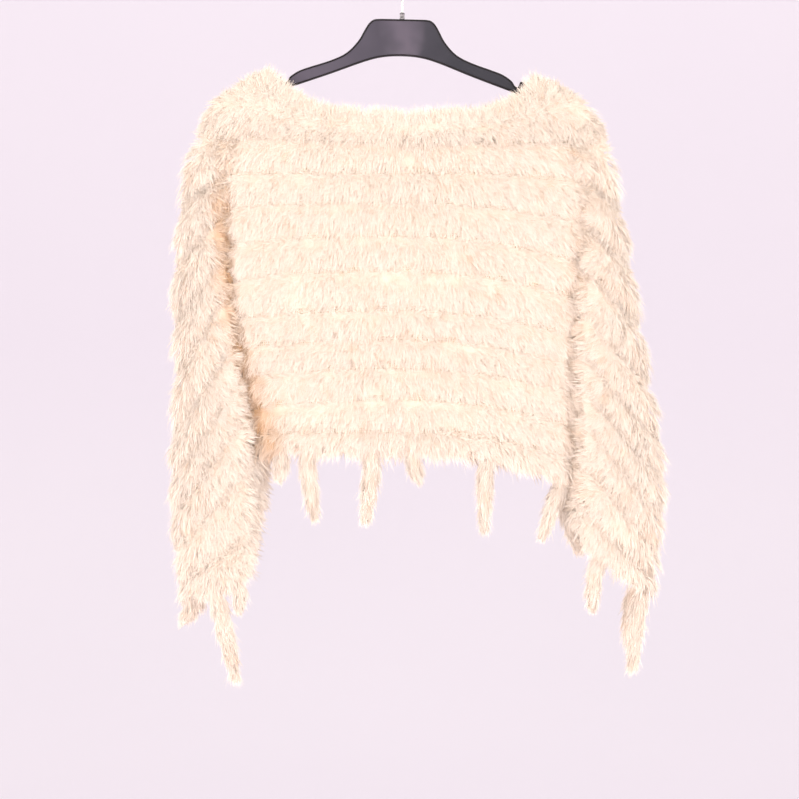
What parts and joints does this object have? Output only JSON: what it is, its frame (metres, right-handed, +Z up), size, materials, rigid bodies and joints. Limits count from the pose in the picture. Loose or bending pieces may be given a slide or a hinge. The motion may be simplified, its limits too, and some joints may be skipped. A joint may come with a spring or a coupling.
{
  "type": "fringed fur poncho on hanger",
  "caption": "Cream fur-strip poncho on a knitted ground, with a boat neck, deep side folds and fur tails along the hem, hung on a black top hanger.",
  "frame": {"origin": "where the rail bears on the inside of the hanger's hook", "axes": "+Z up, -Y the way the garment's front faces, +X to the right as seen from the front"},
  "size_m": [0.7437, 0.1265, 1.0699],
  "materials": {
    "fur": "long soft rabbit pile",
    "knit": "fine openwork cotton knit",
    "plastic": "satin moulded",
    "steel": "bright"
  },
  "bodies": {
    "root": {"back_knit": "knit", "fringe_back": "fur", "fringe_front": "fur", "front_knit": "knit", "fur_back_01": "fur", "fur_back_02": "fur", "fur_back_03": "fur", "fur_back_04": "fur", "fur_back_05": "fur", "fur_back_06": "fur", "fur_back_07": "fur", "fur_back_08": "fur", "fur_back_09": "fur", "fur_back_10": "fur", "fur_front_01": "fur", "fur_front_02": "fur", "fur_front_03": "fur", "fur_front_04": "fur", "fur_front_05": "fur", "fur_front_06": "fur", "fur_front_07": "fur", "fur_front_08": "fur", "fur_front_09": "fur", "fur_front_10": "fur", "hanger_body": "plastic", "hanger_ferrule": "steel", "hook": "steel", "neck_band_back": "fur", "neck_band_front": "fur"}
  },
  "joints": []
}
